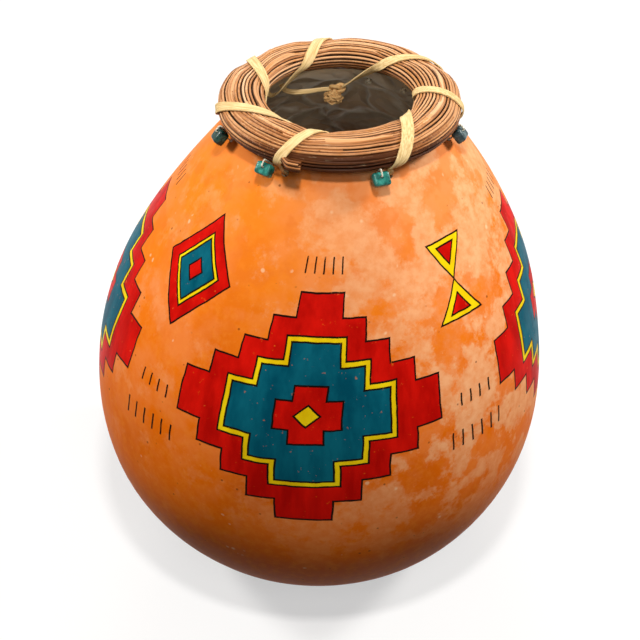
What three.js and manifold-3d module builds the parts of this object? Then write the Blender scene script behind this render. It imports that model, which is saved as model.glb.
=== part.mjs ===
// Painted gourd vessel: a dried gourd with a cut mouth, a coil of wound reed lashed onto the mouth by one
// strip that is stitched through the wall, and stone beads sewn on below the coil with thread.
// Millimetres, +Z up. The origin is the centre of the foot, and the front looks along -Y.
import * as THREE from "three";
import { mergeVertices } from "three/addons/utils/BufferGeometryUtils.js";
import Module from "manifold-3d";

const wasm = await Module();
wasm.setup();

const degrees = THREE.MathUtils.degToRad;

// Gourd shell
const BELLY_RADIUS = 100;
const BELLY_HEIGHT = 92;
const FOOT_RADIUS = 36;
const MOUTH_RADIUS = 43;
const MOUTH_HEIGHT = 227;
const SHELL_WALL = 4;
const FLOOR_THICKNESS = 5;
const SHOULDER_SLOPE = degrees(52);
const BELLY_HANDLE = 50;
const SHOULDER_HANDLE = 66;
const NECK_LEAN = 8.5;
const LEAN_FROM = 112;
const SHELL_SEGMENTS = 40;
const LOWER_STEPS = 9;
const UPPER_STEPS = 12;

// Reed coil: the outer layer is one reed wound round a core of the same reeds
const COIL_OVERHANG = 0.24;
const COIL_WIDTH = 19.8;
const COIL_THICKNESS = 10.9;
const COIL_TILT = degrees(10);
const REED_DIAMETER = 1.5;
const REED_LOOPS = 22;
const LOOP_STEPS = 24;
const REED_SIDES = 6;
const WINDING_START = degrees(-20);
const WINDING_START_ROUND = degrees(-50);
const WINDING_GAP_STEPS = 1;
const CORE_CLEARANCE = 0.4;
const CORE_POINTS = 14;
const SEAT_CLEARANCE = 0.3;

// Cut end of the bundle that shows beside the front stitch: one reed with others round it
const TAIL_REEDS = 6;
const TAIL_FROM = degrees(-23.2);
const TAIL_TO = degrees(-17.2);
const TAIL_ROUND = degrees(12);
const TAIL_CLEARANCE = 0.35;
const TAIL_STEPS = 4;
const LOBE_POINTS = 4;

// Lashing strip: each stitch leaves its hole, goes up outside, over the coil and down inside to the next hole
const STRIP_WIDTH = 4.6;
const STRIP_THICKNESS = 0.6;
const STRIP_NECK_WIDTH = 2.4;
const STRIP_CLEARANCE = 0.6;
const HOLE_DROP = 3.6;
const HOLE_SLANT = degrees(45);
const HOLE_CLEARANCE = 0.35;
const HOLE_LEAD = 1.0;
const STITCHES = [
  { hole: -145, outer: -178, inner: -146 },
  { hole: -134, outer: -137, inner: -89 },
  { hole: -88, outer: -88, inner: -28 },
  { hole: -28.5, outer: -30.5, inner: -6 },
  { hole: 25, outer: 24.5, inner: 72 },
  { hole: 84, outer: 82.5, inner: 97 },
  { hole: 122, outer: 120, inner: 153 },
];
const STITCH_BOW = 0.8;
const STITCH_SPREAD = 0.2;
const ARC_FROM = degrees(-35);
const ARC_TO = degrees(205);
const ARC_STEPS = 12;
const RUN_STEPS = 5;
const RUN_HANDLE = 5;
const RISE_HANDLE = 2;

// Knot that joins the two ends of the strip, inside the mouth at the back
const KNOT_ANGLE = degrees(181);
const KNOT_INSET = 4.9;
const KNOT_DROP = 7.2;
const KNOT_SIZE = 2.3;
const KNOT_CORD = 0.8;
const KNOT_CLEARANCE = 0.4;

// Beads and their threads
const BEADS = [
  { angle: 162, width: 6.4, height: 6.0, depth: 5.2 },
  { angle: -120, width: 7.0, height: 5.8, depth: 5.0 },
  { angle: -72.5, width: 6.2, height: 6.2, depth: 5.0 },
  { angle: -36, width: 7.2, height: 5.4, depth: 5.0 },
  { angle: 18, width: 7.4, height: 5.8, depth: 5.0 },
  { angle: 74, width: 6.6, height: 5.8, depth: 4.8 },
  { angle: 139, width: 6.8, height: 6.0, depth: 5.0 },
];
const BEAD_STANDOFF = 3.0;
const BEAD_HOLE_DROP = 2.2;
const BEAD_HOLE_RADIUS = 0.7;
const BEAD_CORNER = 1.6;
const BEAD_BEVEL = 0.8;
const THREAD_DIAMETER = 0.7;
const THREAD_DROP = 4.6;
const THREAD_RISE = degrees(42);
const THREAD_LEG_GAP = 1.1;
const THREAD_OVER_BEAD = 0.4;
const THREAD_FRONT_GAP = 0.35;
const THREAD_HOLE_CLEARANCE = 0.35;
const THREAD_BEND = 0.8;
const THREAD_SIDES = 6;
const STOPPER_RADIUS = 1.5;

// Worked out from the sizes above
const footAngle = Math.acos(FOOT_RADIUS / BELLY_RADIUS);
const lowerDepth = BELLY_HEIGHT / Math.sin(footAngle);
const edgeWidth = SHELL_WALL / Math.sin(SHOULDER_SLOPE);
const holeDepth = SHELL_WALL / Math.sin(SHOULDER_SLOPE + HOLE_SLANT);
const mouthInnerRadius = MOUTH_RADIUS - edgeWidth;
const coilRadius = MOUTH_RADIUS - edgeWidth / 2 + COIL_OVERHANG;
const coilHalfWidth = COIL_WIDTH / 2;
const coilHalfThickness = COIL_THICKNESS / 2;
const coilUnderside = Math.hypot(coilHalfWidth * Math.sin(COIL_TILT), coilHalfThickness * Math.cos(COIL_TILT));
const coilHeight = coilUnderside + SEAT_CLEARANCE;
const threadRadius = THREAD_DIAMETER / 2;
const reedRadius = REED_DIAMETER / 2;

const shoulder = new THREE.CubicBezierCurve(
  new THREE.Vector2(BELLY_RADIUS, BELLY_HEIGHT),
  new THREE.Vector2(BELLY_RADIUS, BELLY_HEIGHT + BELLY_HANDLE),
  new THREE.Vector2(
    MOUTH_RADIUS + SHOULDER_HANDLE * Math.cos(SHOULDER_SLOPE),
    MOUTH_HEIGHT - SHOULDER_HANDLE * Math.sin(SHOULDER_SLOPE),
  ),
  new THREE.Vector2(MOUTH_RADIUS, MOUTH_HEIGHT),
);

// Sideways shift of the gourd's centre line at a height above the foot.
function leanAt(height) {
  return NECK_LEAN * THREE.MathUtils.smoothstep(height, LEAN_FROM, MOUTH_HEIGHT);
}

// Outer radius of the shoulder at a drop below the cut edge, found by halving the curve's parameter.
function shoulderRadius(drop) {
  let low = 0;
  let high = 1;
  for (let i = 0; i < 40; i++) {
    const middle = (low + high) / 2;
    if (shoulder.getPoint(middle).y < MOUTH_HEIGHT - drop) low = middle;
    else high = middle;
  }
  return shoulder.getPoint(low).x;
}

// A point about the mouth's axis: angle from the front towards +X, distance from the axis, height above the edge.
function around(angle, radial, height) {
  return new THREE.Vector3(radial * Math.sin(angle), -radial * Math.cos(angle), height);
}

// A point on the leaning outer wall, below the cut edge, in the mouth's frame.
function onWall(angle, drop) {
  const point = around(angle, shoulderRadius(drop), -drop);
  point.x += leanAt(MOUTH_HEIGHT - drop) - NECK_LEAN;
  return point;
}

// A place in the coil's cross-section: x runs across the coil, y up through it, both turned by its tilt.
function coilSection(x, y) {
  return {
    radial: coilRadius + x * Math.cos(COIL_TILT) + y * Math.sin(COIL_TILT),
    height: coilHeight - x * Math.sin(COIL_TILT) + y * Math.cos(COIL_TILT),
  };
}

function aroundCoil(angle, x, y) {
  const place = coilSection(x, y);
  return around(angle, place.radial, place.height);
}

function middleOf(points) {
  return points.reduce((sum, point) => sum.add(point), new THREE.Vector3()).divideScalar(points.length);
}

// Closed surface through rings of equal point counts, with a fan about the middle of each end ring. Opposite sides
// are split along the same diagonal, so a thin strip keeps its thickness where it twists.
function loft(rings) {
  const count = rings[0].length;
  const last = (rings.length - 1) * count;
  const index = [];
  for (let i = 0; i + 1 < rings.length; i++) {
    for (let j = 0; j < count; j++) {
      const a = i * count + j;
      const b = i * count + ((j + 1) % count);
      if (2 * j < count) index.push(a, b, a + count, b, b + count, a + count);
      else index.push(a, b, b + count, a, b + count, a + count);
    }
  }
  const points = rings.flat();
  const start = points.push(middleOf(rings[0])) - 1;
  const end = points.push(middleOf(rings[rings.length - 1])) - 1;
  for (let j = 0; j < count; j++) {
    const next = (j + 1) % count;
    index.push(start, next, j, end, last + j, last + next);
  }
  const geometry = new THREE.BufferGeometry().setFromPoints(points);
  geometry.setIndex(index);
  geometry.computeVertexNormals();
  return geometry;
}

// One ring of a tube or strip: the outline's points placed by the side and up directions.
function ringAt(centre, side, up, outline) {
  return outline.map(([x, y]) => centre.clone().addScaledVector(side, x).addScaledVector(up, y));
}

function roundOutline(radius, sides) {
  return Array.from({ length: sides }, (_, i) => {
    const turn = (2 * Math.PI * i) / sides;
    return [radius * Math.cos(turn), radius * Math.sin(turn)];
  });
}

function solidOf(geometry) {
  const bare = geometry.clone();
  bare.deleteAttribute("normal");
  bare.deleteAttribute("uv");
  const merged = mergeVertices(bare, 1e-4);
  return new wasm.Manifold(
    new wasm.Mesh({
      numProp: 3,
      vertProperties: merged.attributes.position.array,
      triVerts: new Uint32Array(merged.index.array),
    }),
  );
}

function geometryOf(solid) {
  const mesh = solid.getMesh();
  const geometry = new THREE.BufferGeometry();
  geometry.setAttribute("position", new THREE.BufferAttribute(mesh.vertProperties, 3));
  geometry.setIndex(new THREE.BufferAttribute(mesh.triVerts, 1));
  geometry.computeVertexNormals();
  return geometry;
}

function named(name, geometry, material) {
  const mesh = new THREE.Mesh(geometry, material);
  mesh.name = name;
  return mesh;
}

// The way the strip goes out through its hole, rising towards the coil.
function holeDirection(stitch) {
  return around(degrees(stitch.hole), Math.cos(HOLE_SLANT), Math.sin(HOLE_SLANT));
}

// A drill bit: a cylinder centred on a point, along a direction.
function drill(centre, direction, radius, length, sides) {
  const bit = new THREE.CylinderGeometry(radius, radius, length, sides);
  const along = new THREE.Vector3(0, 1, 0);
  bit.applyQuaternion(new THREE.Quaternion().setFromUnitVectors(along, direction));
  bit.translate(centre.x, centre.y, centre.z);
  return solidOf(bit);
}

// Gourd wall, outside then inside, as one closed profile from the axis back to the axis.
function shellProfile() {
  const inner = shoulder.getPoints(UPPER_STEPS).map((point, i) => {
    const tangent = shoulder.getTangent(i / UPPER_STEPS);
    return new THREE.Vector2(point.x - tangent.y * SHELL_WALL, point.y + tangent.x * SHELL_WALL);
  });
  inner[UPPER_STEPS].set(mouthInnerRadius, MOUTH_HEIGHT);
  const innerDepth = lowerDepth - SHELL_WALL;
  const floorAngle = Math.asin((BELLY_HEIGHT - FLOOR_THICKNESS) / innerDepth);
  const lowerOutside = new THREE.EllipseCurve(0, BELLY_HEIGHT, BELLY_RADIUS, lowerDepth, -footAngle, 0);
  const lowerInside = new THREE.EllipseCurve(
    0, BELLY_HEIGHT, BELLY_RADIUS - SHELL_WALL, innerDepth, -floorAngle, 0,
  );
  return [
    new THREE.Vector2(0, 0),
    ...lowerOutside.getPoints(LOWER_STEPS),
    ...shoulder.getPoints(UPPER_STEPS).slice(1),
    ...inner.reverse(),
    ...lowerInside.getPoints(LOWER_STEPS).reverse().slice(1),
    new THREE.Vector2(0, FLOOR_THICKNESS),
  ];
}

function makeShell() {
  const blank = new THREE.LatheGeometry(shellProfile(), SHELL_SEGMENTS);
  blank.rotateX(Math.PI / 2);
  const position = blank.attributes.position;
  for (let i = 0; i < position.count; i++) {
    position.setX(i, position.getX(i) + leanAt(position.getZ(i)));
  }
  let shell = solidOf(blank);
  const mouth = new THREE.Vector3(NECK_LEAN, 0, MOUTH_HEIGHT);
  const throughWall = 4 * SHELL_WALL;
  for (const stitch of STITCHES) {
    const angle = degrees(stitch.hole);
    const centre = onWall(angle, HOLE_DROP).add(mouth);
    const radius = Math.hypot(STRIP_NECK_WIDTH, STRIP_THICKNESS) / 2 + HOLE_CLEARANCE;
    shell = shell.subtract(drill(centre, holeDirection(stitch), radius, throughWall, 8));
  }
  for (const bead of BEADS) {
    const angle = degrees(bead.angle);
    const axis = around(angle, Math.cos(THREAD_RISE), Math.sin(THREAD_RISE));
    const upSlope = around(angle, -Math.sin(THREAD_RISE), Math.cos(THREAD_RISE));
    const centre = onWall(angle, THREAD_DROP).addScaledVector(upSlope, THREAD_LEG_GAP / 2).add(mouth);
    const radius = THREAD_LEG_GAP / 2 + threadRadius + THREAD_HOLE_CLEARANCE;
    shell = shell.subtract(drill(centre, axis, radius, throughWall, 8));
  }
  return geometryOf(shell);
}

// Points of the wound reed's centre line: it goes round the mouth once a loop while it creeps round the core.
function windingPath() {
  const section = new THREE.EllipseCurve(
    0, 0,
    coilHalfWidth - reedRadius, coilHalfThickness - reedRadius,
    WINDING_START_ROUND, WINDING_START_ROUND + 2 * Math.PI,
  );
  const steps = REED_LOOPS * LOOP_STEPS;
  const path = [];
  for (let i = 0; i <= steps - WINDING_GAP_STEPS; i++) {
    const place = section.getPointAt(i / steps);
    path.push({ angle: WINDING_START + (2 * Math.PI * i) / LOOP_STEPS, x: place.x, y: place.y });
  }
  return path;
}

function makeWinding() {
  const outline = roundOutline(reedRadius, REED_SIDES);
  const up = new THREE.Vector3(0, 0, 1);
  const path = windingPath();
  const centres = path.map((p) => aroundCoil(p.angle, p.x, p.y));
  let least = Infinity;
  for (let i = 0; i < centres.length; i++) {
    for (let j = i + 3; j < centres.length; j++) {
      least = Math.min(least, centres[i].distanceTo(centres[j]) - REED_DIAMETER);
    }
  }
  console.log(`reed winding: least gap to itself ${least.toFixed(2)} mm`);
  return loft(path.map((p, i) => ringAt(centres[i], around(p.angle, -1, 0), up, outline)));
}

function makeCore() {
  const inset = REED_DIAMETER + CORE_CLEARANCE;
  const profile = [];
  for (let i = 0; i <= CORE_POINTS; i++) {
    const turn = (2 * Math.PI * (i % CORE_POINTS)) / CORE_POINTS;
    const x = (coilHalfWidth - inset) * Math.cos(turn);
    const y = (coilHalfThickness - inset) * Math.sin(turn);
    const place = coilSection(x, y);
    profile.push(new THREE.Vector2(place.radial, place.height));
  }
  const core = new THREE.LatheGeometry(profile, LOOP_STEPS, WINDING_START);
  return core.rotateX(Math.PI / 2);
}

// The bundle's cut end: a lobed outline, one lobe for each outer reed, swept along a short arc of the coil.
function makeTail() {
  const reach = TAIL_CLEARANCE + 3 * reedRadius;
  const x = (coilHalfWidth + reach) * Math.cos(TAIL_ROUND);
  const y = (coilHalfThickness + reach) * Math.sin(TAIL_ROUND);
  const outline = [];
  for (let i = 0; i < TAIL_REEDS * LOBE_POINTS; i++) {
    const turn = (2 * Math.PI * i) / (TAIL_REEDS * LOBE_POINTS);
    const lobe = Math.abs(Math.cos((TAIL_REEDS * turn) / 2));
    const radius = 2 * reedRadius + reedRadius * lobe;
    outline.push([radius * Math.cos(turn), radius * Math.sin(turn)]);
  }
  const up = new THREE.Vector3(0, 0, 1);
  const rings = [];
  for (let i = 0; i <= TAIL_STEPS; i++) {
    const angle = THREE.MathUtils.lerp(TAIL_FROM, TAIL_TO, i / TAIL_STEPS);
    rings.push(ringAt(aroundCoil(angle, x, y), around(angle, -1, 0), up, outline));
  }
  return loft(rings);
}

// Stations of one stitch over the coil, from outside to inside, each with the direction that faces off the coil.
function stitchArc(stitch) {
  const offset = STRIP_CLEARANCE + STRIP_THICKNESS / 2;
  const wide = coilHalfWidth + offset;
  const thick = coilHalfThickness + offset;
  const stations = [];
  for (let i = 0; i <= ARC_STEPS; i++) {
    const share = i / ARC_STEPS;
    const turn = THREE.MathUtils.lerp(ARC_FROM, ARC_TO, share);
    const slant = share * (1 - STITCH_BOW + STITCH_BOW * share);
    const angle = degrees(THREE.MathUtils.lerp(stitch.outer, stitch.inner, slant));
    const spread = THREE.MathUtils.smoothstep(share, 0, STITCH_SPREAD);
    const width = THREE.MathUtils.lerp(STRIP_NECK_WIDTH, STRIP_WIDTH, spread);
    const point = aroundCoil(angle, wide * Math.cos(turn), thick * Math.sin(turn));
    const ahead = aroundCoil(angle, wide * Math.cos(turn) + thick * Math.cos(turn),
      thick * Math.sin(turn) + wide * Math.sin(turn));
    stations.push({ point, facing: ahead.sub(point).normalize(), width });
  }
  return stations;
}

// Stations where the strip goes out through the wall.
function holeStations(stitch) {
  const angle = degrees(stitch.hole);
  const mouth = onWall(angle, HOLE_DROP);
  const facing = around(angle, Math.sin(HOLE_SLANT), -Math.cos(HOLE_SLANT));
  const direction = holeDirection(stitch);
  return [-holeDepth - HOLE_LEAD, -holeDepth / 2, HOLE_LEAD].map((reach) => ({
    point: mouth.clone().addScaledVector(direction, reach),
    facing,
    width: STRIP_NECK_WIDTH,
  }));
}

// Stations of a free run between two stations, leaving and arriving along the given directions.
function runBetween(from, to, leaving, arriving, handle, steps) {
  const curve = new THREE.CubicBezierCurve3(
    from.point,
    from.point.clone().addScaledVector(leaving, handle),
    to.point.clone().addScaledVector(arriving, -handle),
    to.point,
  );
  const stations = [];
  for (let i = 1; i < steps; i++) {
    const share = i / steps;
    stations.push({
      point: curve.getPoint(share),
      facing: from.facing.clone().lerp(to.facing, share).normalize(),
      width: THREE.MathUtils.lerp(from.width, to.width, share),
    });
  }
  return stations;
}

const knotCentre = around(KNOT_ANGLE, mouthInnerRadius - KNOT_INSET, -KNOT_DROP);
const knotReach = 1.5 * KNOT_SIZE + KNOT_CORD + KNOT_CLEARANCE;

// An end of the strip at the knot, on the side that looks towards a point.
function knotEnd(towards) {
  const direction = towards.clone().sub(knotCentre).normalize();
  const point = knotCentre.clone().addScaledVector(direction, knotReach);
  return { direction, station: { point, facing: new THREE.Vector3(0, 0, -1), width: STRIP_NECK_WIDTH } };
}

// The whole strip: from the knot through every hole and over every stitch, and back to the knot.
function stripStations() {
  const stations = [];
  let from = null;
  let leaving = null;
  STITCHES.forEach((stitch) => {
    const hole = holeStations(stitch);
    const arc = stitchArc(stitch);
    const outward = holeDirection(stitch);
    if (from === null) {
      const start = knotEnd(hole[0].point);
      from = start.station;
      leaving = start.direction;
      stations.push(from);
    }
    stations.push(...runBetween(from, hole[0], leaving, outward, RUN_HANDLE, RUN_STEPS), ...hole);
    const upwards = arc[1].point.clone().sub(arc[0].point).normalize();
    stations.push(...runBetween(hole[2], arc[0], outward, upwards, RISE_HANDLE, RUN_STEPS - 1), ...arc);
    from = arc[ARC_STEPS];
    leaving = from.point.clone().sub(arc[ARC_STEPS - 1].point).normalize();
  });
  const end = knotEnd(from.point);
  const arriving = end.direction.clone().negate();
  stations.push(...runBetween(from, end.station, leaving, arriving, RUN_HANDLE, RUN_STEPS), end.station);
  return stations;
}

function makeStrip() {
  const stations = stripStations();
  const rings = stations.map((station, i) => {
    const before = stations[Math.max(i - 1, 0)].point;
    const after = stations[Math.min(i + 1, stations.length - 1)].point;
    const along = after.clone().sub(before).normalize();
    const side = along.clone().cross(station.facing).normalize();
    const facing = side.clone().cross(along).normalize();
    const w = station.width / 2;
    const t = STRIP_THICKNESS / 2;
    return ringAt(station.point, side, facing, [[w, t], [w, -t], [-w, -t], [-w, t]]);
  });
  return loft(rings);
}

function makeKnot() {
  const knot = new THREE.TorusKnotGeometry(KNOT_SIZE, KNOT_CORD, 36, 6, 2, 3);
  knot.rotateX(Math.PI / 2);
  return geometryOf(solidOf(knot));
}

// A rounded nugget with a hole through it. The hole is on the local Z axis, and the back is at the standoff.
function makeBead(bead) {
  const w = bead.width / 2 - BEAD_BEVEL;
  const top = BEAD_HOLE_DROP - BEAD_BEVEL;
  const bottom = BEAD_HOLE_DROP - bead.height + BEAD_BEVEL;
  const c = BEAD_CORNER;
  const face = new THREE.Shape();
  face.absarc(w - c, top - c, c, 0, Math.PI / 2);
  face.absarc(-w + c, top - c, c, Math.PI / 2, Math.PI);
  face.absarc(-w + c, bottom + c, c, Math.PI, 1.5 * Math.PI);
  face.absarc(w - c, bottom + c, c, 1.5 * Math.PI, 2 * Math.PI);
  const body = new THREE.ExtrudeGeometry(face, {
    depth: bead.depth - 2 * BEAD_BEVEL,
    curveSegments: 2,
    bevelThickness: BEAD_BEVEL,
    bevelSize: BEAD_BEVEL,
    bevelSegments: 1,
  });
  body.translate(0, 0, BEAD_STANDOFF + BEAD_BEVEL);
  const middle = new THREE.Vector3(0, 0, BEAD_STANDOFF + bead.depth / 2);
  const hole = drill(middle, new THREE.Vector3(0, 0, 1), BEAD_HOLE_RADIUS, 2 * bead.depth, 10);
  return geometryOf(solidOf(body).subtract(hole));
}

// A route in a plane with each inner corner rounded off.
function rounded(corners, bend) {
  const route = [corners[0]];
  for (let i = 1; i + 1 < corners.length; i++) {
    const before = corners[i - 1].clone().sub(corners[i]).setLength(bend).add(corners[i]);
    const after = corners[i + 1].clone().sub(corners[i]).setLength(bend).add(corners[i]);
    route.push(...new THREE.QuadraticBezierCurve(before, corners[i], after).getPoints(2));
  }
  route.push(corners[corners.length - 1]);
  return route;
}

// Thread in the bead's frame: out of the wall, through the bead, up its face, over its top and back to the wall.
function makeThread(bead) {
  const inside = -SHELL_WALL - STOPPER_RADIUS;
  const front = BEAD_STANDOFF + bead.depth + THREAD_FRONT_GAP + threadRadius;
  const back = BEAD_STANDOFF - THREAD_FRONT_GAP - threadRadius;
  const over = BEAD_HOLE_DROP + THREAD_OVER_BEAD + threadRadius;
  const corners = [
    new THREE.Vector2(0, inside),
    new THREE.Vector2(0, front),
    new THREE.Vector2(over, front),
    new THREE.Vector2(over, back),
    new THREE.Vector2(THREAD_LEG_GAP, back / 2),
    new THREE.Vector2(THREAD_LEG_GAP, inside),
  ];
  const route = rounded(corners, THREAD_BEND);
  const across = new THREE.Vector3(1, 0, 0);
  const outline = roundOutline(threadRadius, THREAD_SIDES);
  const rings = route.map((point, i) => {
    const before = route[Math.max(i - 1, 0)];
    const after = route[Math.min(i + 1, route.length - 1)];
    const along = new THREE.Vector3(0, after.x - before.x, after.y - before.y).normalize();
    const centre = new THREE.Vector3(0, point.x, point.y);
    return ringAt(centre, across, along.clone().cross(across), outline);
  });
  const stopper = new THREE.SphereGeometry(STOPPER_RADIUS, 8, 5);
  stopper.translate(0, THREAD_LEG_GAP / 2, inside);
  return geometryOf(solidOf(loft(rings)).add(solidOf(stopper)));
}

// Frame of a bead on the wall: X along the coil, Y up the slope, Z out along the thread.
function beadFrame(bead) {
  const angle = degrees(bead.angle);
  const frame = new THREE.Group();
  frame.position.copy(onWall(angle, THREAD_DROP));
  frame.quaternion.setFromRotationMatrix(
    new THREE.Matrix4().makeBasis(
      around(angle + Math.PI / 2, 1, 0),
      around(angle, -Math.sin(THREAD_RISE), Math.cos(THREAD_RISE)),
      around(angle, Math.cos(THREAD_RISE), Math.sin(THREAD_RISE)),
    ),
  );
  return frame;
}

const gourdSkin = new THREE.MeshStandardMaterial({ color: 0xe8842c, roughness: 0.45, metalness: 0 });
const reed = new THREE.MeshStandardMaterial({ color: 0xb9773f, roughness: 0.6, metalness: 0 });
const paleStrip = new THREE.MeshStandardMaterial({ color: 0xf2dfa4, roughness: 0.7, metalness: 0 });
const greenStone = new THREE.MeshStandardMaterial({ color: 0x0f6f62, roughness: 0.3, metalness: 0 });
const waxedThread = new THREE.MeshStandardMaterial({ color: 0xe9e2cd, roughness: 0.8, metalness: 0 });

const vessel = new THREE.Group();
vessel.add(named("gourd_shell", makeShell(), gourdSkin));

const rim = new THREE.Group();
rim.position.set(NECK_LEAN, 0, MOUTH_HEIGHT);
rim.add(named("coil_core", makeCore(), reed));
rim.add(named("coil_reeds", makeWinding(), reed));
rim.add(named("coil_tail", makeTail(), reed));
rim.add(named("lashing_strip", makeStrip(), paleStrip));

const knot = named("lashing_knot", makeKnot(), paleStrip);
knot.position.copy(knotCentre);
knot.rotation.z = KNOT_ANGLE;
rim.add(knot);

BEADS.forEach((bead, i) => {
  const frame = beadFrame(bead);
  frame.add(named(`bead_${i + 1}`, makeBead(bead), greenStone));
  frame.add(named(`bead_thread_${i + 1}`, makeThread(bead), waxedThread));
  rim.add(frame);
});
vessel.add(rim);

export default vessel;
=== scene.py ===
"""Looks of the painted gourd vessel, in the frame of its solids: gourd, reed coil, lashing and beads."""

import math
import random

import bpy
from mathutils import Matrix, Quaternion, Vector, noise


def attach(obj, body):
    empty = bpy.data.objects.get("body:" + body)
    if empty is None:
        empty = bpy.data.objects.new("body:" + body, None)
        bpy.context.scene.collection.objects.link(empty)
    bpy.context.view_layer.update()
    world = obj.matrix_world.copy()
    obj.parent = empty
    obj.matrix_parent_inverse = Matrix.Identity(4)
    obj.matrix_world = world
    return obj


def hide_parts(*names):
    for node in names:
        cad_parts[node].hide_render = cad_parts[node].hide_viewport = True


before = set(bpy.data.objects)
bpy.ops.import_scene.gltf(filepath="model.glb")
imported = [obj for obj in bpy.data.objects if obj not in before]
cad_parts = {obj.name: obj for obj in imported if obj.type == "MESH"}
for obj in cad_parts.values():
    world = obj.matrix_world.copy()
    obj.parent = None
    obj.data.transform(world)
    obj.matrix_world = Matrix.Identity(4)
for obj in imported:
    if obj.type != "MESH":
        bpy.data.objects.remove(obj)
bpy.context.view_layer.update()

MM = 0.001

# Gourd
BELLY_RADIUS = 100 * MM
BELLY_HEIGHT = 92 * MM
FOOT_RADIUS = 36 * MM
MOUTH_RADIUS = 43 * MM
MOUTH_HEIGHT = 227 * MM
SHELL_WALL = 4 * MM
FLOOR_THICKNESS = 5 * MM
SHOULDER_SLOPE = math.radians(52)
BELLY_HANDLE = 50 * MM
SHOULDER_HANDLE = 66 * MM
NECK_LEAN = 8.5 * MM
LEAN_FROM = 112 * MM
GOURD_SEGMENTS = 180
DRILL_LENGTH = 4 * SHELL_WALL
DRILL_SIDES = 20
INSIDE_DEPTH = 2.2 * MM
ABOVE_FOOT = 1 * MM
NEAR_AXIS = 10 * MM
WELD = 0.01 * MM

# The wall swells unevenly between its foot and its neck: grain of each swelling and its height
SWELLS = ((11, 0.9 * MM), (27, 0.35 * MM))
EVEN_FOOT = (4 * MM, 30 * MM)
EVEN_NECK = (185 * MM, 215 * MM)

# Reed coil
COIL_OVERHANG = 0.24 * MM
COIL_HALF_WIDTH = 9.9 * MM
COIL_HALF_THICKNESS = 5.45 * MM
COIL_TILT = math.radians(10)
REED_DIAMETER = 1.5 * MM
SEAT_CLEARANCE = 0.3 * MM
COIL_SWELL = 0.9 * MM
CORE_INSET = 1.7 * MM
CORE_LUMP = 0.06
CORE_GRAIN = 140
REED_SEED = 11
REED_INSET = 0.8 * MM
REED_LOOPS = 32
REED_STEPS = 96
REED_SIDES = 10
WINDING_FROM = math.radians(-20)
WINDING_SHARE = 0.14
WINDING_SHORT = 6
LOOSE_REEDS = 30
LOOSE_TUCK = 0.22

# Shares of the way over the coil between which it swells, and degrees from a stitch that press it flat
SWELL_FROM = (0.14, 0.34)
SWELL_TO = (0.80, 0.97)
PRESSED = (4.5, 17.0)

# Degrees from the front, and round the section from its low side, over which the reeds are darkened as
# painted shade on the coil's underside
SHADED_FRONT = (26, 62)
SHADED_SIDE = -20
SHADED_SPREAD = (34, 92)

# Cut end of the bundle
TAIL_SEED = 5
TAIL_GAP = 0.35 * MM
TAIL_SPOT = math.radians(12)
TAIL_FROM = math.radians(-31)
TAIL_OUT = (math.radians(-28), math.radians(-22))
TAIL_TO = -17.2
TAIL_STEPS = 16
TAIL_OUTER_REEDS = 6

# Lashing
STRIP_THICKNESS = 0.5 * MM
STRIP_NECK_WIDTH = 2.4 * MM
STRIP_CLEARANCE = 0.2 * MM
STRIP_CAMBER = 0.12 * MM
STRIP_WAVE = 0.16 * MM
STRIP_RAGGED = 0.05
STRIP_HALF_POINTS = 4
HOLE_DROP = 3.6 * MM
HOLE_SLANT = math.radians(45)
HOLE_RADIUS = 1.6 * MM
HOLE_LEAD = 1.0 * MM
STITCHES = (
    {"hole": -145, "outer": -178, "inner": -146, "width": 4.5 * MM},
    {"hole": -134, "outer": -137, "inner": -89, "width": 4.3 * MM},
    {"hole": -88, "outer": -88, "inner": -28, "width": 4.8 * MM},
    {"hole": -28.5, "outer": -30.5, "inner": -6, "width": 4.3 * MM},
    {"hole": 25, "outer": 24.5, "inner": 72, "width": 5.0 * MM},
    {"hole": 84, "outer": 82.5, "inner": 97, "width": 4.2 * MM},
    {"hole": 122, "outer": 120, "inner": 153, "width": 4.3 * MM},
)
STITCH_BOW = 0.8
ARC_FROM = -35
ARC_TO = 205
ARC_STEPS = 30
RUN_HANDLE = 5 * MM
RUN_STEPS = 12
LEAD_HANDLE = 2 * MM
LEAD_STEPS = 8
KNOT_RUN_STEPS = 14
KNOT_ANGLE = math.radians(181)
KNOT_INSET = 4.9 * MM
KNOT_DROP = 7.2 * MM
KNOT_REACH = 4.4 * MM
KNOT_OVERLAP = 1.5 * MM
KNOT_SIZE = (1.05 * MM, 0.85 * MM, 0.9 * MM)
KNOT_STRAND_RADIUS = 0.85 * MM
KNOT_STEPS = 96
KNOT_SIDES = 10
TUFT_SEED = 23
TUFT_STRANDS = 70
TUFT_STEPS = 12
TUFT_SIDES = 5
TUFT_HALF = (4.3 * MM, 3.2 * MM, 3.3 * MM)
TUFT_ASIDE = 1.6 * MM
TUFT_DROP = 3.6 * MM
TUFT_OUT = 0.6 * MM
TUFT_CURL = 0.28

# Beads on their threads
BEADS = (
    {"angle": 162, "width": 6.4, "height": 6.0, "depth": 5.2},
    {"angle": -120, "width": 7.0, "height": 5.8, "depth": 5.0},
    {"angle": -72.5, "width": 6.2, "height": 6.2, "depth": 5.0},
    {"angle": -36, "width": 7.2, "height": 5.4, "depth": 5.0},
    {"angle": 18, "width": 7.4, "height": 5.8, "depth": 5.0},
    {"angle": 74, "width": 6.6, "height": 5.8, "depth": 4.8},
    {"angle": 139, "width": 6.8, "height": 6.0, "depth": 5.0},
)
BEAD_STANDOFF = 3.0 * MM
BEAD_HOLE_DROP = 2.2 * MM
BEAD_HOLE_RADIUS = 0.7 * MM
BEAD_SEED = 40
BEAD_BEVEL = 1.15 * MM
BEAD_CHIP = 0.3 * MM
BEAD_CHIP_GRAIN = 330
BEAD_SKEW = 0.10
BEAD_ROUNDING = 2
THREAD_RADIUS = 0.35 * MM
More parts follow.
